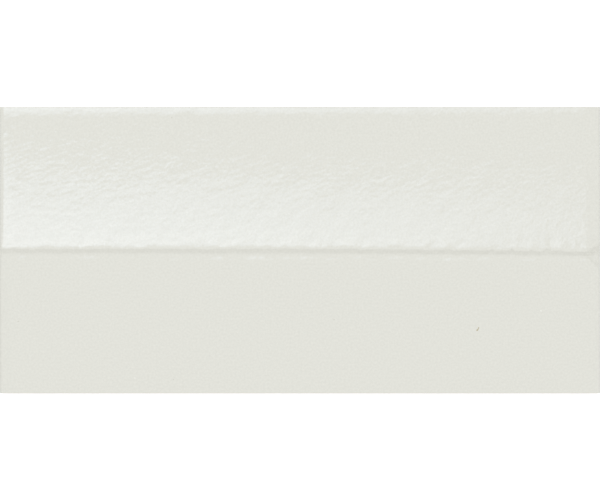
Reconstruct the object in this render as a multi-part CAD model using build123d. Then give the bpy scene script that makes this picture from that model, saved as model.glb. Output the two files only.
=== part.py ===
from build123d import *

import math
import os

# Decorative glazed wall tile: one pressed and fired piece whose face is two courses with a false joint between.
# The upper course is scooped: it sweeps up from a rolled top edge to a lip. Below the lip lie the sloping wall
# of the false joint and a flat lower course. Both ends roll over, so that the section sinks there as a whole,
# and the back has a waffle of shallow keys for adhesive.
# Frame: millimetres, +Z out of the face, +Y up the wall, +X along the course. The tile lies on its back, and
# the origin is the middle of the back.

# Work size of the tile, for a 250 x 120 module laid with 2 mm joints.
TILE_LENGTH = 248.0
TILE_HEIGHT = 118.0

# Heights of the face above the back.
LOWER_THICKNESS = 9.0
LIP_RISE = 1.2
SCOOP_DROP = 3.4

# False joint between the courses: the lip, and the wall that leans out from it to its foot.
LIP_PLACE = 0.35
LIP_RUN = 2.0
LIP_ROUND = 2.4
FOOT_ROUND = 2.5

# Flared mouth of the false joint, at the right-hand end only.
MOUTH_LENGTH = 6.0
MOUTH_RISE = 6.0
MOUTH_FALL = 5.5
MOUTH_SLOPE = 15.0
MOUTH_WALL = 3.5
MOUTH_DRAFT = 50.0

# Edges round the face and the back. A rolled edge has a gentle roll and then a tighter arris.
TOP_ROLL = 25.0
TOP_RUN = 2.9
TOP_ARRIS = 0.3
BOTTOM_ARRIS = 0.3
END_ROLL = 40.0
END_RUN = 5.2
END_ARRIS = 1.6
END_TURN = 80.0
END_TRIM = 0.05
BACK_CHAMFER = 0.6

# Keys in the back: a grid of shallow pockets inside a plain border.
KEY_COLUMNS = 9
KEY_ROWS = 4
KEY_BORDER = 9.0
KEY_RIB = 5.0
KEY_DEPTH = 0.8
KEY_CORNER = 3.0
KEY_DRAFT = 30.0

# Places worked out from the sizes above.
HALF_LENGTH = TILE_LENGTH / 2
HALF_HEIGHT = TILE_HEIGHT / 2
LIP_Z = LOWER_THICKNESS + LIP_RISE
SCOOP_Z = LIP_Z - SCOOP_DROP
FOOT_PLACE = LIP_PLACE - LIP_RUN
TOP_LEAN = math.degrees(math.asin(TOP_RUN / TOP_ROLL))
END_LEAN = math.degrees(math.asin(END_RUN / END_ROLL))


def section_face():
    """Cross-section of the face on the YZ plane, carried on below the back, where the block trims it."""
    below = -LIP_Z
    lip = (LIP_PLACE, LIP_Z)
    foot = (FOOT_PLACE, LOWER_THICKNESS)
    bottom = (-HALF_HEIGHT, LOWER_THICKNESS)
    scoop_end = (HALF_HEIGHT - TOP_RUN, SCOOP_Z)
    with BuildSketch(Plane.YZ) as section:
        with BuildLine():
            TangentArc(scoop_end, lip, tangent=(-1, 0))
            roll = CenterArc((scoop_end[0], SCOOP_Z - TOP_ROLL), TOP_ROLL, 90, -TOP_LEAN)
            top = tuple(roll @ 1)[:2]
            Polyline(top, (HALF_HEIGHT, below), (-HALF_HEIGHT, below), bottom, foot, lip)
        make_face()
        rounded_corners = {lip: LIP_ROUND, foot: FOOT_ROUND, bottom: BOTTOM_ARRIS, top: TOP_ARRIS}
        for corner, radius in rounded_corners.items():
            fillet(section.vertices().sort_by_distance(corner)[0], radius)
    return section.sketch


def face_path():
    """Path of the section from end to end: straight along the tile, then down over the roll and arris of each end."""
    lean, turn = math.radians(END_LEAN), math.radians(END_TURN)
    arris_run = END_ARRIS * (math.sin(turn) - math.sin(lean))
    shoulder = HALF_LENGTH + END_TRIM - arris_run - END_RUN
    with BuildLine(Plane.XZ) as path:
        roll = CenterArc((shoulder, -END_ROLL), END_ROLL, 90, -END_LEAN)
        foot = roll @ 1
        arris_centre = (shoulder + END_RUN - END_ARRIS * math.sin(lean), foot.Z - END_ARRIS * math.cos(lean))
        CenterArc(arris_centre, END_ARRIS, 90 - END_LEAN, END_LEAN - END_TURN)
        Line((shoulder, 0), (0, 0))
        mirror(about=Plane.YZ)
    return path.line


def trimming_block():
    """Block that gives the tile its upright sides, its flat back and the chamfer round the back."""
    with BuildPart() as block:
        Box(TILE_LENGTH, TILE_HEIGHT, 2 * LIP_Z, align=(Align.CENTER, Align.CENTER, Align.MIN))
        chamfer(block.faces().sort_by(Axis.Z)[0].edges(), BACK_CHAMFER)
    return block.part


def joint_mouth():
    """Cutter for the joint's flared end: a triangle in plan with a floor that falls and walls that lean out."""
    throat = Location((HALF_LENGTH - MOUTH_LENGTH, FOOT_PLACE, LOWER_THICKNESS))
    with BuildPart() as mouth:
        with BuildSketch(Plane(throat) * Rotation(0, MOUTH_SLOPE, 0)):
            with BuildLine():
                Polyline(
                    (0, 0),
                    (2 * MOUTH_LENGTH, -2 * MOUTH_FALL),
                    (2 * MOUTH_LENGTH, 2 * MOUTH_RISE),
                    close=True,
                )
            make_face()
        extrude(amount=MOUTH_WALL, taper=-MOUTH_DRAFT)
    return mouth.part


def back_keys():
    """Cutter for the adhesive keys: a grid of shallow, drafted pockets in the back, with their corners cut off."""
    key_length = (TILE_LENGTH - 2 * KEY_BORDER - (KEY_COLUMNS - 1) * KEY_RIB) / KEY_COLUMNS
    key_height = (TILE_HEIGHT - 2 * KEY_BORDER - (KEY_ROWS - 1) * KEY_RIB) / KEY_ROWS
    with BuildPart() as keys:
        with BuildSketch(Plane.XY) as pockets:
            with GridLocations(key_length + KEY_RIB, key_height + KEY_RIB, KEY_COLUMNS, KEY_ROWS):
                Rectangle(key_length, key_height)
            chamfer(pockets.vertices(), KEY_CORNER)
        extrude(amount=KEY_DEPTH, taper=KEY_DRAFT)
    return keys.part


def wall_tile():
    """The whole tile: the section swept over both ends, trimmed by the block, then cut."""
    path = face_path()
    face = sweep(section_face().moved(Location(path @ 0)), path, normal=(1, 0, 0))
    tile = face & trimming_block()
    tile -= joint_mouth()
    tile -= back_keys()
    return tile


os.makedirs("parts", exist_ok=True)
export_step(wall_tile(), "parts/wall_tile.step")
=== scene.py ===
"""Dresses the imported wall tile: its rippled glossy glaze, bare clay back and sides, and a plain studio stage.

The tile lies on its back with +Z out of its face and +Y towards its rounded top edge. All lengths are metres.
"""

import math

import bmesh
import bpy
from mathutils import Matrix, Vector


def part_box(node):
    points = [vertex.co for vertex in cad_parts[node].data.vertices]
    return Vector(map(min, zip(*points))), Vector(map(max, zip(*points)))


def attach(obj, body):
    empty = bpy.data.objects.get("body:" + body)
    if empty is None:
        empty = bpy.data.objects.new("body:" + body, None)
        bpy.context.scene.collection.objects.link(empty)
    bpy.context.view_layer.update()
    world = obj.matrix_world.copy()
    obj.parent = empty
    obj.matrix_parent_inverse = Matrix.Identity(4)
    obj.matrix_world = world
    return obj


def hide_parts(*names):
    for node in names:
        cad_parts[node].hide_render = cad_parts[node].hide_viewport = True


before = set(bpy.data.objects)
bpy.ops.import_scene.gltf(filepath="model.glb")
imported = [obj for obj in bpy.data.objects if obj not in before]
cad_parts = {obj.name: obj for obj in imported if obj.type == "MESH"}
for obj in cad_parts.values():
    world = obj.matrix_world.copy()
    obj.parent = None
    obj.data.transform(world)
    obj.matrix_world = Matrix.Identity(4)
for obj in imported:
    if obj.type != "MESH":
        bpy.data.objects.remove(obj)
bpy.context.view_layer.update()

bl_info = {
    "name": "Scooped Wall Tile",
    "version": (1, 0, 0),
    "blender": (4, 5, 0),
    "location": "3D View > Sidebar > Tile",
    "description": "Models a glazed wall tile with a scooped upper course and a false joint",
    "category": "Add Mesh",
}

MM = 0.001
NODE = "wall_tile"
PIECE = "glazed_wall_tile"
LOW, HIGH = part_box(NODE)
HALF_LENGTH = HIGH.x
HALF_HEIGHT = HIGH.y

# Flecks in the glaze: where they lie on the face, their length and width in millimetres, their slant in degrees,
# and their colour. The first two make one bent iron fleck; the last two are white spots of painted highlight that
# stand for the glints of tiny pimples in the glaze.
FLECKS = (
    (73.0, -32.95, 1.05, 0.7, 50, "fleck"),
    (73.45, -32.2, 1.2, 0.45, 80, "fleck"),
    (-116.1, -29.4, 0.5, 0.5, 0, "speck"),
    (14.0, -28.7, 0.6, 0.4, 0, "speck"),
    (-52.1, -53.4, 0.5, 0.4, 0, "speck"),
    (-52.9, 54.5, 0.5, 0.4, 0, "speck"),
    (99.2, -25.0, 0.7, 0.5, 90, "painted_glint"),
    (-68.0, -52.7, 0.5, 0.4, 0, "painted_glint"),
)

# Small notches in the lip: their place along the tile, half their width and their height, in millimetres.
LIP_NOTCHES = (
    (61.0, 0.9, 0.7),
    (78.9, 1.0, 0.9),
    (87.2, 1.1, 1.0),
    (95.0, 0.8, 0.6),
    (101.7, 1.5, 1.6),
    (105.0, 0.8, 0.9),
    (107.5, 1.0, 1.1),
)


def linear(hex_colour):
    """The linear red, green and blue of an sRGB hex colour such as #E3E3DB."""
    channels = [int(hex_colour[i:i + 2], 16) / 255 for i in (1, 3, 5)]
    return tuple(c / 12.92 if c <= 0.04045 else ((c + 0.055) / 1.055) ** 2.4 for c in channels)


def length(name, default_mm, description):
    """A length property with its default given in millimetres."""
    return bpy.props.FloatProperty(
        name=name, description=description, default=default_mm * MM, unit="LENGTH", precision=5
    )


def colour(name, hex_colour, description):
    """A colour property with its default given as an sRGB hex value."""
    return bpy.props.FloatVectorProperty(
        name=name, description=description, default=linear(hex_colour), subtype="COLOR", size=3, min=0, max=1
    )


def angle(name, default_degrees, description):
    """An angle property with its default given in degrees."""
    return bpy.props.FloatProperty(
        name=name, description=description, default=math.radians(default_degrees), unit="ROTATION"
    )


class TileSizes(bpy.types.PropertyGroup):
    """Sizes of the tile's section, ends, joint, back and ripple."""

    face: length("Lower face", 9.0, "Height of the flat lower course above the back")
    lip: length("Lip", 10.2, "Height of the upper course's lip above the back, before it is rounded")
    scoop: length("Scoop", 7.0, "Height of the scoop above the back where it meets the rolled top edge")
    top_roll: length("Top roll radius", 43.0, "Radius of the roll along the top edge")
    top_run: length("Top roll run", 2.9, "Width of the roll along the top edge")
    top_flat: length("Top flat", 1.3, "Width of the flat slope between the roll and the top edge")
    top_arris: length("Top arris", 0.3, "Radius of the top edge itself")
    bottom_arris: length("Bottom arris", 0.3, "Radius of the bottom front edge")
    end_roll: length("End roll radius", 40.0, "Radius of the roll along each end")
    end_run: length("End roll run", 5.2, "Width of the roll along each end")
    end_flat: length("End flat", 0.0, "Width of the flat slope between the roll and each end's edge")
    end_arris: length("End arris", 1.6, "Radius of each end's edge")
    lip_place: length("Lip place", 0.15, "How far the lip lies above the tile's middle at the left end")
    lip_drift: length("Lip drift", 1.2, "How far the joint has fallen at the right end")
    lip_run: length("Lip run", 1.85, "How far the wall below the lip leans out")
    joint_floor: length("Joint floor", 1.0, "Width of the false joint's floor")
    joint_ramp: length("Joint ramp", 1.6, "Width of the slope from the joint's floor to the lower face")
    joint_depth: length("Joint depth", 0.045, "Depth of the false joint below the lower face")
    lip_roll: length("Lip roll radius", 15.0, "Radius of the gentle roll before the lip")
    lip_roll_run: length("Lip roll run", 1.8, "Width of the gentle roll before the lip")
    lip_round: length("Lip rounding", 1.0, "Radius of the lip itself")
    foot_round: length("Foot rounding", 2.0, "Radius at the foot of the wall below the lip")
    ramp_round: length("Ramp rounding", 6.0, "Radius at the foot and the head of the joint's slope")
    mouth_length: length("Mouth length", 6.0, "Length of the joint's flared mouth at the right end")
    mouth_rise: length("Mouth rise", 1.2, "How far the mouth opens upwards at the end")
    mouth_fall: length("Mouth fall", 4.8, "How far the mouth opens downwards at the end")
    mouth_flare: length("Mouth flare", 0.5, "How far the mouth turns up along the very end")
    mouth_depth: length("Mouth depth", 1.4, "Depth of the mouth's floor below the lower face")
    mouth_draft: angle("Mouth draft", 60, "How far the mouth's walls lean out from upright")
    glaze_skirt: length("Glaze skirt", 1.6, "How far the glaze runs down the sides below the rounded edges")
    glaze_step: length("Glaze step", 0.15, "How far the glaze stands proud of the bare clay")
    back_chamfer: length("Back chamfer", 0.6, "Chamfer round the back")
    key_border: length("Key border", 9.0, "Plain border round the keys in the back")
    key_rib: length("Key rib", 5.0, "Width of the ribs between the keys")
    key_depth: length("Key depth", 0.8, "Depth of the keys")
    key_corner: length("Key corner", 3.0, "Length cut off each corner of a key")
    key_draft: length("Key draft", 0.46, "How far a key's wall leans in over its depth")
    key_columns: bpy.props.IntProperty(name="Key columns", description="Keys along the tile", default=9, min=1)
    key_rows: bpy.props.IntProperty(name="Key rows", description="Keys across the tile", default=4, min=1)
    mesh_step: length("Mesh step", 0.54, "Spacing of the mesh on the face")
    swell: length("Swell", 0.1, "Height of the broad waves in the glaze")
    ripple: length("Ripple", 0.06, "Height of the slanting ripples in the glaze")
    pool: length("Pool", 0.28, "Height of the waves where the glaze gathers along the joint")
    joint_sink: length("Joint sink", 0.068, "How much deeper the joint is away from the left end")
    glint: length("Glint", 0.1, "Height of the small waves in the deeper joint")
    lip_wave: length("Lip wave", 1.2, "How far the lip and the joint wander from a straight line")
    skirt_wave: length("Skirt wave", 1.6, "How far the glaze's lower edge wanders on the sides")


class TileColours(bpy.types.PropertyGroup):
    """Colours of the tile's glaze and clay."""

    glaze: colour("Glaze", "#DBDAD0", "Off-white of the glaze")
    glaze_thick: colour("Thick glaze", "#E8E7DD", "Glaze where it lies thicker")
    fleck: colour("Fleck", "#BDB394", "Iron fleck fired into the glaze")
    speck: colour("Speck", "#CFCDBF", "Faint dark speck in the glaze")
    # Painted highlight: a white spot that stands for the glint of a tiny pimple in the glaze.
    painted_glint: colour("Painted glint", "#F4F4EC", "White speck in the glaze")
    clay: colour("Clay", "#D9CEBB", "Fired clay body")
    clay_dark: colour("Dark clay", "#BFAF97", "Darker grains of the fired clay")


class StageLook(bpy.types.PropertyGroup):
    """Light, floor and camera of the studio stage."""

    crop_left: length("Crop left", 0.35, "Width of the tile that the picture's left edge cuts off")
    crop_right: length("Crop right", 0.4, "Width of the tile that the picture's right edge cuts off")
    camera_height: bpy.props.FloatProperty(
        name="Camera height", description="Height of the camera above the floor", default=2.0, unit="LENGTH"
    )
    softbox_height: bpy.props.FloatProperty(
        name="Softbox height", description="Height of the softbox above the floor", default=3.0, unit="LENGTH"
    )
    softbox_left: angle("Softbox left", -20, "Left edge of the softbox, from straight up")
    softbox_right: angle("Softbox right", 7, "Right edge of the softbox, from straight up")
    softbox_near: angle("Softbox near", 7.6, "Near edge of the softbox, from straight up")
    softbox_far: angle("Softbox far", 28, "Far edge of the softbox, from straight up")
    softbox_turn: angle("Softbox turn", 10, "Turn of the softbox about its upright axis")
    softbox: bpy.props.FloatProperty(
        name="Softbox", description="Brightness of the softbox where it is brightest", default=3.65, min=0
    )
    softbox_full: angle("Softbox full", 15.5, "Where the softbox's light reaches its full brightness, upwards")
    softbox_bright: angle("Softbox bright", -2.2, "Where the softbox's light begins to fade to the right")
    softbox_dim: bpy.props.FloatProperty(
        name="Softbox dim", description="Share of the full brightness at the right edge", default=0.49, min=0
    )
    softbox_edge: bpy.props.FloatProperty(
        name="Softbox edge", description="Share of the full brightness at the near edge", default=0.37, min=0
    )
    softbox_tint: colour("Softbox tint", "#DFE8F8", "Cool white of the softbox where it is brightest")
    softbox_edge_tint: colour("Softbox edge tint", "#CADDFC", "Cooler white of the softbox at its near edge")
    fill_above: bpy.props.FloatProperty(
        name="Fill above", description="Brightness of the even light from straight above", default=1.15, min=0
    )
    fill_level: bpy.props.FloatProperty(
        name="Fill level", description="Brightness of the even light from level with the floor", default=0.4, min=0
    )
    fill_right: bpy.props.FloatProperty(
        name="Fill right", description="Share by which the even light is brighter from the right", default=0.1
    )
    floor: colour("Floor", "#E7E7E7", "White of the floor")
    floor_glow: bpy.props.FloatProperty(
        name="Floor glow", description="Light that the floor adds where it is seen", default=0.5, min=0
    )


def add_node(tree, kind, inputs=None, **settings):
    """Adds a node with its settings. An input is given a value, or an output socket to link from."""
    node = tree.nodes.new(kind)
    for name, value in settings.items():
        setattr(node, name, value)
    for name, value in (inputs or {}).items():
        if isinstance(value, bpy.types.NodeSocket):
            tree.links.new(value, node.inputs[name])
        else:
            node.inputs[name].default_value = value
    return node


def deselect_all():
    """Leaves edit mode and deselects every object."""
    if bpy.context.mode != "OBJECT":
        bpy.ops.object.mode_set(mode="OBJECT")
    bpy.ops.object.select_all(action="DESELECT")


def pick(kind, test):
    """Selects only the verts, edges or faces of the mesh in edit mode that pass a test."""
    mesh = bpy.context.edit_object.data
    bpy.ops.mesh.select_mode(type={"verts": "VERT", "edges": "EDGE", "faces": "FACE"}[kind])
    bpy.ops.mesh.select_all(action="DESELECT")
    bm = bmesh.from_edit_mesh(mesh)
    for element in getattr(bm, kind):
        if test(element):
            element.select_set(True)
    bm.select_flush_mode()
    bmesh.update_edit_mesh(mesh, loop_triangles=False, destructive=False)


def flatten_to(height):
    """Moves the selected vertices to one height."""
    bpy.ops.transform.resize(value=(1, 1, 0), center_override=(0, 0, height))


def draw_in(inset):
    """Moves a selected loop round the tile inwards by one distance."""
    factors = (1 - inset / HALF_LENGTH, 1 - inset / HALF_HEIGHT, 1)
    bpy.ops.transform.resize(value=factors, center_override=(0, 0, 0))


def extrude_loop(fall=0.0):
    """Extrudes the selected loop of edges and lowers the new loop."""
    bpy.ops.mesh.extrude_region_move(TRANSFORM_OT_translate={"value": (0, 0, -fall)})


def spread(start, end, step):
    """Values between two ends, both left out, about one step apart."""
    count = max(1, round(abs(end - start) / step))
    return [start + (end - start) * i / count for i in range(1, count)]


def rounded_corner(before, corner, after, radius, steps):
    """Points of the arc that rounds one corner of an outline."""
    corner = Vector(corner)
    arms = [(Vector(point) - corner).normalized() for point in (before, after)]
    half_angle = arms[0].angle(arms[1]) / 2
    centre = corner + (arms[0] + arms[1]).normalized() * radius / math.sin(half_angle)
    spokes = [(corner + arm * radius / math.tan(half_angle) - centre).normalized() for arm in arms]
    return [centre + radius * spokes[0].slerp(spokes[1], i / steps) for i in range(steps + 1)]


def edge_drop(roll, run, flat, arris, past):
    """Drop of a rolled edge past its start: a gentle roll, a flat slope, and then the arris down to upright."""
    lean = math.asin(run / roll)
    if past <= run:
        return roll - math.sqrt(roll ** 2 - max(0, past) ** 2)
    slope_drop = roll * (1 - math.cos(lean)) + min(flat, past - run) * math.tan(lean)
    if past <= run + flat:
        return slope_drop
    across = min(arris, arris * math.sin(lean) + past - run - flat)
    return slope_drop + arris * math.cos(lean) - math.sqrt(arris ** 2 - across ** 2)


def edge_stations(roll, run, flat, arris, roll_steps, arris_steps):
    """Distances past the start of a rolled edge at which its mesh has a line."""
    lean = math.asin(run / roll)
    leans = [lean + (math.pi / 2 - lean) * i / arris_steps for i in range(1, arris_steps + 1)]
    stations = [run * i / roll_steps for i in range(1, roll_steps + 1)]
    if flat:
        stations += [run + flat * share for share in (0.3, 0.6, 0.92, 1)]
    return stations + [run + flat + arris * (math.sin(t) - math.sin(lean)) for t in leans]


def section_rows(sizes):
    """The face's section from the bottom edge to the top edge, as (y, z) rows."""
    floor_z = sizes.face - sizes.joint_depth
    floor_high = (sizes.lip_place - sizes.lip_run, floor_z)
    floor_low = (floor_high[0] - sizes.joint_floor, floor_z)
    ramp_head = (floor_low[0] - sizes.joint_ramp, sizes.face)
    bottom = (-HALF_HEIGHT, sizes.face)
    top_edge = (sizes.top_roll, sizes.top_run, sizes.top_flat, sizes.top_arris)
    top_stations = edge_stations(*top_edge, 7, 4)
    scoop_end = HALF_HEIGHT - top_stations[-1]
    lip_shoulder = sizes.lip_place + sizes.lip_roll_run
    run, rise = scoop_end - sizes.lip_place, sizes.lip - sizes.scoop
    bend = (run ** 2 + rise ** 2) / (2 * rise)

    def scoop(y):
        roll_drop = max(0, lip_shoulder - y) ** 2 / (2 * sizes.lip_roll)
        return sizes.scoop + bend - math.sqrt(bend ** 2 - (scoop_end - y) ** 2) - roll_drop

    lip = (sizes.lip_place, scoop(sizes.lip_place))
    past_lip = (sizes.lip_place + sizes.lip_round, scoop(sizes.lip_place + sizes.lip_round))
    bottom_edge = rounded_corner((-HALF_HEIGHT, 0), bottom, ramp_head, sizes.bottom_arris, 4)
    joint = rounded_corner(bottom, ramp_head, floor_low, sizes.ramp_round, 4)
    joint += [joint[-1].lerp(Vector(floor_low), share / 5) for share in (1, 2, 3)]
    joint += rounded_corner(ramp_head, floor_low, floor_high, sizes.ramp_round / 3, 3)
    joint += rounded_corner(floor_low, floor_high, lip, sizes.foot_round, 4)
    joint += rounded_corner(floor_high, lip, past_lip, sizes.lip_round, 7)
    lower_face = [(y, sizes.face) for y in spread(bottom_edge[-1][0], joint[0][0], sizes.mesh_step)]
    upper_rows = spread(joint[-1][0], lip_shoulder, sizes.mesh_step / 2)
    upper_rows += spread(lip_shoulder, scoop_end, sizes.mesh_step)
    upper_face = [(y, scoop(y)) for y in upper_rows]
    top_rows = [(scoop_end + past, sizes.scoop - edge_drop(*top_edge, past)) for past in (0, *top_stations)]
    return [*bottom_edge, *lower_face, *joint, *upper_face, *top_rows]


def model_strip(sizes):
    """Models the section as one strip of rows from end to end."""
    rows = section_rows(sizes)
    bpy.ops.mesh.primitive_grid_add(x_subdivisions=1, y_subdivisions=len(rows) - 1, size=2 * HALF_LENGTH)
    tile = bpy.context.active_object
    tile.name = tile.data.name = PIECE
    bpy.ops.object.mode_set(mode="EDIT")
    spacing = 2 * HALF_LENGTH / (len(rows) - 1)
    for i, (y, z) in enumerate(rows):
        start = -HALF_LENGTH + i * spacing
        pick("verts", lambda v: v.co.z < MM and abs(v.co.y - start) < spacing / 3)
        bpy.ops.transform.translate(value=(0, y - start, z))
    return tile


def cut_columns(count, within):
    """Cuts the lengthwise edges within a stretch of the tile into a number of columns."""
    low, high = within

    def lengthwise(edge):
        ends = sorted(vert.co.x for vert in edge.verts)
        return ends[1] - ends[0] > MM and ends[0] > low - MM and ends[1] < high + MM

    pick("edges", lengthwise)
    bpy.ops.mesh.subdivide(number_cuts=count - 1)


def end_drop(sizes, x):
    """How far the section has sunk at a place along the tile."""
    edge = (sizes.end_roll, sizes.end_run, sizes.end_flat, sizes.end_arris)
    return edge_drop(*edge, abs(x) - HALF_LENGTH + edge_stations(*edge, 1, 1)[-1])


def roll_ends(tile, sizes):
    """Cuts the columns of both ends and rolls the ends over: the section sinks there as a whole."""
    stations = edge_stations(sizes.end_roll, sizes.end_run, sizes.end_flat, sizes.end_arris, 8, 6)
    reach = stations[-1]
    shoulder = HALF_LENGTH - reach
    cut_columns(4, (-HALF_LENGTH, HALF_LENGTH))
    for side in (-1, 1):
        pick("verts", lambda v: abs(v.co.x - side * HALF_LENGTH / 2) < MM)
        bpy.ops.transform.translate(value=(side * (shoulder - HALF_LENGTH / 2), 0, 0))
        cut_columns(len(stations), sorted((side * shoulder, side * HALF_LENGTH)))
        for i, past in reversed(list(enumerate(stations, start=1))):
            start = shoulder + reach * i / len(stations)
            pick("verts", lambda v: abs(v.co.x * side - start) < 0.1 * MM)
            bpy.ops.transform.translate(value=(side * (shoulder + past - start), 0, 0))
    cut_columns(round(shoulder / sizes.mesh_step), (-shoulder, shoulder))
    lower(tile, "ends", lambda co: end_drop(sizes, co.x))


def open_mouth(tile, sizes):
    """Opens the joint's right-hand end into a flared mouth with sloping walls, softened as by a coat of glaze."""
    throat = HALF_LENGTH - sizes.mouth_length
    foot = sizes.lip_place - sizes.lip_run

    def depth(co):
        share = (co.x - throat) / sizes.mouth_length
        if share <= 0:
            return 0
        floor = sizes.face - sizes.mouth_depth * math.sqrt(share) - end_drop(sizes, co.x)
        low = foot - sizes.mouth_fall * share
        high = foot + sizes.mouth_rise * share + sizes.mouth_flare * share ** 6
        wall = max(0, low - co.y, co.y - high) / math.tan(sizes.mouth_draft)
        return max(0, co.z - floor - wall)

    def near_mouth(co):
        return co.x > throat - MM and foot - 2 * sizes.mouth_fall < co.y < foot + 3 * sizes.mouth_fall

    bpy.ops.object.mode_set(mode="EDIT")
    pick("faces", lambda f: near_mouth(f.calc_center_median()))
    bpy.ops.mesh.subdivide(number_cuts=1)
    lower(tile, "mouth", depth)
    bpy.ops.object.mode_set(mode="EDIT")
    arris_start = HALF_LENGTH - sizes.end_arris
    pick("verts", lambda v: near_mouth(v.co) and v.co.x < arris_start)
    bpy.ops.mesh.vertices_smooth(factor=0.5, repeat=4, xaxis=False, yaxis=False, zaxis=True)


def model_sides(tile, sizes):
    """Extrudes the sides: a glazed skirt with an uneven lower edge, then bare clay down to the chamfered back."""
    tile.vertex_groups.new(name="face")
    bpy.ops.mesh.select_all(action="SELECT")
    bpy.ops.object.vertex_group_assign()
    pick("edges", lambda e: e.is_boundary)
    extrude_loop(sizes.glaze_skirt / 2)
    bpy.ops.object.vertex_group_remove_from()
    tile.vertex_groups.new(name="skirt")
    extrude_loop(sizes.glaze_skirt / 2)
    bpy.ops.object.vertex_group_assign()
    tile.update_from_editmode()
    glazed_faces = len(tile.data.polygons)
    extrude_loop()
    draw_in(sizes.glaze_step)
    extrude_loop()
    bpy.ops.object.vertex_group_remove_from()
    flatten_to(sizes.back_chamfer)
    extrude_loop()
    flatten_to(0)
    draw_in(sizes.back_chamfer)
    return glazed_faces


def model_keys(sizes, clay):
    """Models the back's keys: a grid of cells, inset for the ribs, cut at the corners and sunk with a draft."""
    columns, rows = sizes.key_columns, sizes.key_rows
    width = 2 * (HALF_LENGTH - sizes.key_border) + sizes.key_rib
    height = 2 * (HALF_HEIGHT - sizes.key_border) + sizes.key_rib
    deselect_all()
    bpy.ops.mesh.primitive_grid_add(x_subdivisions=columns, y_subdivisions=rows, size=width)
    keys = bpy.context.active_object
    keys.data.materials.append(clay)
    bpy.ops.object.mode_set(mode="EDIT")
    bpy.ops.transform.resize(value=(1, height / width, 1))
    bpy.ops.mesh.flip_normals()
    bpy.ops.mesh.select_mode(type="FACE")
    bpy.ops.mesh.inset(thickness=sizes.key_rib / 2, use_individual=True)
    bpy.ops.mesh.bevel(offset=sizes.key_corner, offset_type="WIDTH", segments=1, affect="VERTICES")
    key_area = 0.8 * (width / columns - sizes.key_rib) * (height / rows - sizes.key_rib)
    pick("faces", lambda f: f.calc_area() > key_area)
    bpy.ops.mesh.inset(thickness=sizes.key_draft, depth=-sizes.key_depth, use_individual=True)
    bpy.ops.object.mode_set(mode="OBJECT")
    return keys


def close_back(tile, keys, glazed_faces):
    """Joins the keys to the tile, fills the border between them, and gives the bare faces the clay."""
    deselect_all()
    keys.select_set(True)
    tile.select_set(True)
    bpy.context.view_layer.objects.active = tile
    bpy.ops.object.join()
    bpy.ops.object.mode_set(mode="EDIT")
    pick("edges", lambda e: e.is_boundary)
    bpy.ops.mesh.fill(use_beauty=True)
    bpy.ops.mesh.select_mode(type="FACE")
    bpy.ops.mesh.select_all(action="SELECT")
    bpy.ops.mesh.normals_make_consistent(inside=False)
    pick("faces", lambda f: f.index >= glazed_faces)
    tile.active_material_index = 1
    bpy.ops.object.material_slot_assign()
    bpy.ops.object.mode_set(mode="OBJECT")


def wave(tile, name, group, direction, height, cell, stretch=(1, 1, 1), slant=0.0, depth=1, cusped=False):
    """Waves one vertex group of the tile with a cloud pattern whose cells may be stretched, slanted or cusped."""
    bpy.ops.object.empty_add(rotation=(0, 0, math.radians(slant)))
    grid = bpy.context.active_object
    grid.scale = stretch
    clouds = bpy.data.textures.new(name, type="CLOUDS")
    clouds.noise_basis = "IMPROVED_PERLIN"
    clouds.noise_type = "HARD_NOISE" if cusped else "SOFT_NOISE"
    clouds.noise_scale = cell
    clouds.noise_depth = depth
    modifier = tile.modifiers.new(name, "DISPLACE")
    modifier.texture = clouds
    modifier.texture_coords = "OBJECT"
    modifier.texture_coords_object = grid
    modifier.direction = direction
    modifier.strength = height
    modifier.vertex_group = group
    apply_modifier(tile, modifier)
    bpy.data.objects.remove(grid)
    bpy.data.textures.remove(clouds)


def apply_modifier(tile, modifier):
    """Applies one modifier to the tile's mesh."""
    deselect_all()
    tile.select_set(True)
    bpy.context.view_layer.objects.active = tile
    bpy.ops.object.modifier_apply(modifier=modifier.name)


def weigh(tile, name, weight):
    """Adds a vertex group whose weight is worked out from each vertex's place."""
    group = tile.vertex_groups.new(name=name)
    for vertex in tile.data.vertices:
        share = weight(vertex.co)
        if share > 0:
            group.add([vertex.index], min(1, share), "REPLACE")


def lower(tile, name, depth):
    """Lowers each vertex of the tile by a depth that is worked out from its place."""
    deselect_all()
    most = max(depth(vertex.co) for vertex in tile.data.vertices)
    weigh(tile, name, lambda co: depth(co) / most)
    shift(tile, name, "Z", -most)
    tile.vertex_groups.remove(tile.vertex_groups[name])


def shift(tile, group, direction, distance):
    """Moves one vertex group of the tile along an axis, each vertex by its weight."""
    modifier = tile.modifiers.new(group, "DISPLACE")
    modifier.direction = direction
    modifier.mid_level = 0
    modifier.strength = distance
    modifier.vertex_group = group
    apply_modifier(tile, modifier)


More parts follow.
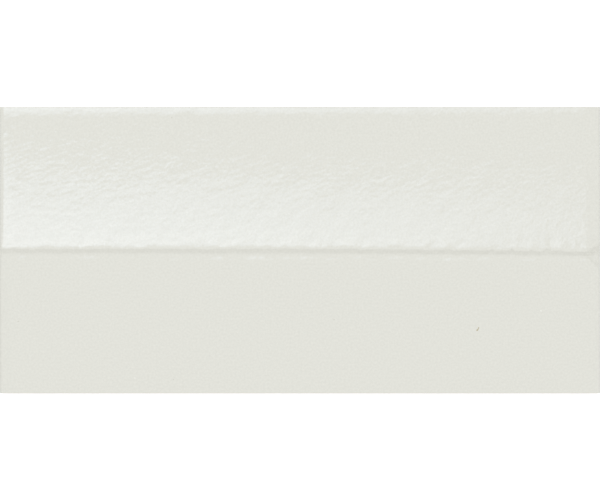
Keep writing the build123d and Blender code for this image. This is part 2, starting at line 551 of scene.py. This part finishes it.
def wave_glaze(tile, sizes):
    """Lets the joint drift and wander, swells and ripples the glaze, and makes its lower edge uneven."""

    def near(co, place, reach):
        share = max(0, 1 - abs(co.y - place) / reach)
        return share ** 2 * (3 - 2 * share) if co.z > 2 * sizes.back_chamfer else 0

    def rightward(co, start, end):
        return min(1, max(0, (co.x / HALF_LENGTH - start) / (end - start)))

    def in_notch(co):
        return max((1 - abs(co.x / MM - x) / half) * rise for x, half, rise in LIP_NOTCHES) * near(co, lip, 2.5 * MM)

    lip, floor = sizes.lip_place, sizes.lip_place - sizes.lip_run - sizes.joint_floor / 2
    weigh(tile, "joint", lambda co: near(co, lip, 8 * MM))
    weigh(tile, "drift", lambda co: near(co, lip, 8 * MM) * rightward(co, 0, 1) ** 1.3)
    weigh(tile, "floor", lambda co: near(co, floor, 3.2 * MM) * rightward(co, -0.75, -0.4))
    weigh(tile, "notch", lambda co: in_notch(co) / 2)
    shift(tile, "drift", "Y", -sizes.lip_drift)
    shift(tile, "floor", "Z", -sizes.joint_sink)
    wave(tile, "glint", "floor", "Z", sizes.glint, 2.2 * MM, stretch=(1.6, 1, 1))
    shift(tile, "notch", "Y", 2 * MM)
    wave(tile, "lip_wave", "joint", "Y", -sizes.lip_wave, 4 * MM, stretch=(1, 4, 4), depth=2, cusped=True)
    wave(tile, "pool", "joint", "Z", sizes.pool, 4 * MM)
    wave(tile, "swell", "face", "Z", sizes.swell, 6 * MM, stretch=(1.8, 1, 1), slant=55)
    wave(tile, "ripple", "face", "Z", sizes.ripple, 2.1 * MM, stretch=(1.5, 1, 1), slant=30)
    wave(tile, "skirt_wave", "skirt", "Z", sizes.skirt_wave, 6 * MM, depth=2)
    tile.vertex_groups.clear()


def fleck_mask(tree, place, centre, half_size, turn):
    """Mask of one fleck: an oval on the face with a soft edge."""
    spot = add_node(
        tree, "ShaderNodeMapping",
        {"Vector": place, "Location": centre, "Rotation": (0, 0, turn), "Scale": half_size}, vector_type="TEXTURE",
    )
    reach = add_node(tree, "ShaderNodeVectorMath", {0: spot.outputs["Vector"]}, operation="LENGTH")
    mask = add_node(
        tree, "ShaderNodeMapRange",
        {"Value": reach.outputs["Value"], "From Min": 0.7, "From Max": 1.1, "To Min": 1.0, "To Max": 0.0},
    )
    return mask.outputs["Result"]


def glossy_glaze(colours):
    """Glossy off-white opaque glaze, sprayed on and fired: it flows into fine ripples that break up reflections."""
    material = bpy.data.materials.new("glossy_off_white_glaze")
    material.use_nodes = True
    tree = material.node_tree
    shader = tree.nodes["Principled BSDF"]
    place = add_node(tree, "ShaderNodeTexCoord").outputs["Object"]
    cloud = add_node(tree, "ShaderNodeTexNoise", {"Vector": place, "Scale": 1 / (0.9 * MM), "Detail": 1.0})
    tone = add_node(tree, "ShaderNodeMix", {"Factor": cloud.outputs["Fac"]}, data_type="RGBA")
    tone.inputs["A"].default_value = (*colours.glaze, 1)
    tone.inputs["B"].default_value = (*colours.glaze_thick, 1)
    surface = tone.outputs["Result"]
    # Iron flecks and specks, and last the white spots of painted highlight that stand for glints on tiny pimples.
    for x, y, long, wide, turn, name in FLECKS:
        fleck = fleck_mask(tree, place, (x * MM, y * MM, 0), (long * MM / 2, wide * MM / 2, 1), math.radians(turn))
        mix = add_node(tree, "ShaderNodeMix", {"Factor": fleck}, data_type="RGBA")
        tree.links.new(surface, mix.inputs["A"])
        mix.inputs["B"].default_value = (*getattr(colours, name), 1)
        surface = mix.outputs["Result"]
    slant = add_node(
        tree, "ShaderNodeMapping", {"Vector": place, "Rotation": (0, 0, math.radians(23)), "Scale": (1.7, 1, 1)},
        vector_type="TEXTURE",
    )
    ripple = add_node(
        tree, "ShaderNodeTexNoise", {"Vector": slant.outputs["Vector"], "Scale": 1 / (1.5 * MM), "Detail": 0.8}
    )
    axes = add_node(tree, "ShaderNodeSeparateXYZ", {"Vector": place})
    outwards = add_node(tree, "ShaderNodeMath", {0: axes.outputs["X"]}, operation="ABSOLUTE").outputs["Value"]
    crumple = add_node(
        tree, "ShaderNodeMapRange",
        {"Value": outwards, "From Max": HALF_LENGTH, "To Min": 0.75, "To Max": 1.3},
    )
    lip_zone = {"Value": axes.outputs["Y"], "From Min": 6 * MM, "From Max": 28 * MM}
    flaking = add_node(tree, "ShaderNodeMapRange", {**lip_zone, "To Min": 0.5, "To Max": 1.0})
    running = add_node(tree, "ShaderNodeMapRange", {**lip_zone, "To Min": 1.0, "To Max": 0.5})
    share = add_node(
        tree, "ShaderNodeMath", {0: crumple.outputs["Result"], 1: flaking.outputs["Result"]}, operation="MULTIPLY"
    )
    relief = add_node(
        tree, "ShaderNodeMath", {0: ripple.outputs["Fac"], 1: share.outputs["Value"]}, operation="MULTIPLY"
    )
    rippled = add_node(
        tree, "ShaderNodeBump", {"Height": relief.outputs["Value"], "Distance": 0.053 * MM, "Strength": 1.0}
    )
    upright = add_node(
        tree, "ShaderNodeMapping", {"Vector": place, "Rotation": (0, 0, math.radians(68)), "Scale": (2.5, 1, 1)},
        vector_type="TEXTURE",
    )
    runs = add_node(
        tree, "ShaderNodeTexNoise", {"Vector": upright.outputs["Vector"], "Scale": 1 / (1.2 * MM), "Detail": 1.0}
    )
    streaks = add_node(
        tree, "ShaderNodeMath", {0: runs.outputs["Fac"], 1: running.outputs["Result"]}, operation="MULTIPLY"
    )
    bump = add_node(
        tree, "ShaderNodeBump",
        {
            "Height": streaks.outputs["Value"], "Distance": 0.042 * MM, "Strength": 1.0,
            "Normal": rippled.outputs["Normal"],
        },
    )
    tree.links.new(surface, shader.inputs["Base Color"])
    tree.links.new(bump.outputs["Normal"], shader.inputs["Normal"])
    shader.inputs["Roughness"].default_value = 0.06
    shader.inputs["IOR"].default_value = 1.5
    return material


def fired_clay(colours):
    """Bare fired clay, dry pressed: matt and finely grained, with darker grains and open pores."""
    material = bpy.data.materials.new("bare_fired_clay")
    material.use_nodes = True
    tree = material.node_tree
    shader = tree.nodes["Principled BSDF"]
    place = add_node(tree, "ShaderNodeTexCoord").outputs["Object"]
    grain = add_node(tree, "ShaderNodeTexNoise", {"Vector": place, "Scale": 1 / (0.7 * MM), "Detail": 4.0})
    tone = add_node(tree, "ShaderNodeMix", {"Factor": grain.outputs["Fac"]}, data_type="RGBA")
    tone.inputs["A"].default_value = (*colours.clay, 1)
    tone.inputs["B"].default_value = (*colours.clay_dark, 1)
    bump = add_node(tree, "ShaderNodeBump", {"Height": grain.outputs["Fac"], "Distance": 0.08 * MM})
    tree.links.new(tone.outputs["Result"], shader.inputs["Base Color"])
    tree.links.new(bump.outputs["Normal"], shader.inputs["Normal"])
    shader.inputs["Roughness"].default_value = 0.85
    return material


class TILE_OT_model_tile(bpy.types.Operator):
    """Model the glazed tile in place of its plain solid"""

    bl_idname = "tile.model_tile"
    bl_label = "Model Tile"

    def execute(self, context):
        sizes, colours = context.scene.tile_sizes, context.scene.tile_colours
        deselect_all()
        clay = fired_clay(colours)
        tile = model_strip(sizes)
        tile.data.materials.append(glossy_glaze(colours))
        tile.data.materials.append(clay)
        roll_ends(tile, sizes)
        open_mouth(tile, sizes)
        glazed_faces = model_sides(tile, sizes)
        keys = model_keys(sizes, clay)
        close_back(tile, keys, glazed_faces)
        wave_glaze(tile, sizes)
        bpy.ops.object.shade_smooth_by_angle(angle=math.radians(40))
        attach(tile, "root")
        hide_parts(NODE)
        return {"FINISHED"}


def white_floor(look):
    """White paper floor: bright to the camera, and darker where the tile shades it."""
    material = bpy.data.materials.new("white_paper_floor")
    material.use_nodes = True
    tree = material.node_tree
    shader = tree.nodes["Principled BSDF"]
    shader.inputs["Base Color"].default_value = (*look.floor, 1)
    shader.inputs["Roughness"].default_value = 1.0
    path = add_node(tree, "ShaderNodeLightPath")
    seen = add_node(
        tree, "ShaderNodeMath",
        {0: path.outputs["Is Camera Ray"], 1: path.outputs["Is Glossy Ray"]}, operation="MAXIMUM",
    )
    shown = add_node(
        tree, "ShaderNodeMath",
        {0: seen.outputs["Value"], 1: path.outputs["Is Transmission Ray"]}, operation="MAXIMUM",
    )
    glow = add_node(tree, "ShaderNodeMath", {0: shown.outputs["Value"], 1: look.floor_glow}, operation="MULTIPLY")
    shader.inputs["Emission Color"].default_value = (1, 1, 1, 1)
    tree.links.new(glow.outputs["Value"], shader.inputs["Emission Strength"])
    return material


def light_world(look):
    """Even light that is brightest overhead, with a white background where the camera or a reflection sees it."""
    world = bpy.data.worlds.new("studio")
    world.use_nodes = True
    tree = world.node_tree
    path = add_node(tree, "ShaderNodeLightPath")
    seen = add_node(
        tree, "ShaderNodeMath",
        {0: path.outputs["Is Camera Ray"], 1: path.outputs["Is Glossy Ray"]}, operation="MAXIMUM",
    )
    shown = add_node(
        tree, "ShaderNodeMath",
        {0: seen.outputs["Value"], 1: path.outputs["Is Transmission Ray"]}, operation="MAXIMUM",
    )
    direction = add_node(tree, "ShaderNodeTexCoord").outputs["Generated"]
    axes = add_node(tree, "ShaderNodeSeparateXYZ", {"Vector": direction})
    upwards = add_node(
        tree, "ShaderNodeMapRange",
        {"Value": axes.outputs["Z"], "To Min": look.fill_level, "To Max": look.fill_above},
    )
    sideways = add_node(
        tree, "ShaderNodeMath", {0: axes.outputs["X"], 1: look.fill_right, 2: 1.0}, operation="MULTIPLY_ADD"
    )
    fill = add_node(
        tree, "ShaderNodeMath", {0: upwards.outputs["Result"], 1: sideways.outputs["Value"]}, operation="MULTIPLY"
    )
    strength = add_node(
        tree, "ShaderNodeMapRange",
        {"Value": shown.outputs["Value"], "To Min": fill.outputs["Value"], "To Max": 1.0},
    )
    background = tree.nodes["Background"]
    background.inputs["Color"].default_value = (1, 1, 1, 1)
    tree.links.new(strength.outputs["Result"], background.inputs["Strength"])
    bpy.context.scene.world = world


def hang_softbox(look):
    """A softbox above the top left of the tile, whose light fades in from its near edge and out to its right."""
    height = look.softbox_height
    left, right, near, far = (
        height * math.tan(edge)
        for edge in (look.softbox_left, look.softbox_right, look.softbox_near, look.softbox_far)
    )
    across, along = right - left, far - near
    middle = Vector((left + across / 2, near + along / 2, height))
    pivot = Vector((0, near, height))
    bpy.ops.object.light_add(type="AREA", location=middle, rotation=(0, 0, look.softbox_turn))
    lamp = bpy.context.active_object
    arm = middle - pivot
    arm.rotate(lamp.rotation_euler)
    lamp.location = pivot + arm
    lamp.name = lamp.data.name = "softbox"
    lamp.data.shape = "RECTANGLE"
    lamp.data.size, lamp.data.size_y = across, along
    lamp.data.energy = look.softbox * math.pi * across * along
    lamp.data.use_nodes = True
    tree = lamp.data.node_tree
    place = add_node(tree, "ShaderNodeNewGeometry").outputs["Parametric"]
    axes = add_node(tree, "ShaderNodeSeparateXYZ", {"Vector": place})
    full, bright = (height * math.tan(edge) for edge in (look.softbox_full, look.softbox_bright))
    inwards = add_node(
        tree, "ShaderNodeMapRange", {"Value": axes.outputs["Y"], "From Max": (full - near) / along}
    ).outputs["Result"]
    tint = add_node(tree, "ShaderNodeMix", {"Factor": inwards}, data_type="RGBA")
    tint.inputs["A"].default_value = (*look.softbox_edge_tint, 1)
    tint.inputs["B"].default_value = (*look.softbox_tint, 1)
    rise = add_node(tree, "ShaderNodeMapRange", {"Value": inwards, "To Min": look.softbox_edge})
    fade = add_node(
        tree, "ShaderNodeMapRange",
        {
            "Value": axes.outputs["X"], "From Min": (bright - left) / across,
            "To Min": 1.0, "To Max": look.softbox_dim,
        },
    )
    both = add_node(
        tree, "ShaderNodeMath", {0: rise.outputs["Result"], 1: fade.outputs["Result"]}, operation="MULTIPLY"
    )
    emission = tree.nodes["Emission"]
    tree.links.new(tint.outputs["Result"], emission.inputs["Color"])
    tree.links.new(both.outputs["Value"], emission.inputs["Strength"])


class TILE_OT_set_stage(bpy.types.Operator):
    """Set the white floor, the light and the camera above the tile"""

    bl_idname = "tile.set_stage"
    bl_label = "Set Stage"

    def execute(self, context):
        look = context.scene.tile_stage
        deselect_all()
        bpy.ops.mesh.primitive_plane_add(size=12, location=(0, 0, -0.05 * MM))
        floor = context.active_object
        floor.name = "floor"
        floor.data.materials.append(white_floor(look))
        light_world(look)
        hang_softbox(look)
        bpy.ops.object.camera_add(location=((look.crop_left - look.crop_right) / 2, 0, look.camera_height))
        camera = context.active_object
        edge_height = 7.4 * MM
        frame_width = 2 * HALF_LENGTH - look.crop_left - look.crop_right
        camera.data.sensor_fit = "HORIZONTAL"
        camera.data.lens = camera.data.sensor_width * (look.camera_height - edge_height) / frame_width
        context.scene.camera = camera
        context.scene.view_settings.view_transform = "Standard"
        return {"FINISHED"}


class TILE_PT_sidebar(bpy.types.Panel):
    """Lists the tile's operators"""

    bl_idname = "TILE_PT_sidebar"
    bl_label = "Wall Tile"
    bl_space_type = "VIEW_3D"
    bl_region_type = "UI"
    bl_category = "Tile"

    def draw(self, context):
        for operator in (TILE_OT_model_tile, TILE_OT_set_stage):
            self.layout.operator(operator.bl_idname)


CLASSES = (TileSizes, TileColours, StageLook, TILE_OT_model_tile, TILE_OT_set_stage, TILE_PT_sidebar)
GROUPS = {"tile_sizes": TileSizes, "tile_colours": TileColours, "tile_stage": StageLook}


def register():
    for cls in CLASSES:
        bpy.utils.register_class(cls)
    for name, group in GROUPS.items():
        setattr(bpy.types.Scene, name, bpy.props.PointerProperty(type=group))


def unregister():
    for name in GROUPS:
        delattr(bpy.types.Scene, name)
    for cls in reversed(CLASSES):
        bpy.utils.unregister_class(cls)


def main():
    """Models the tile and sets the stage."""
    register()
    bpy.ops.tile.model_tile()
    bpy.ops.tile.set_stage()


if __name__ == "__main__":
    main()
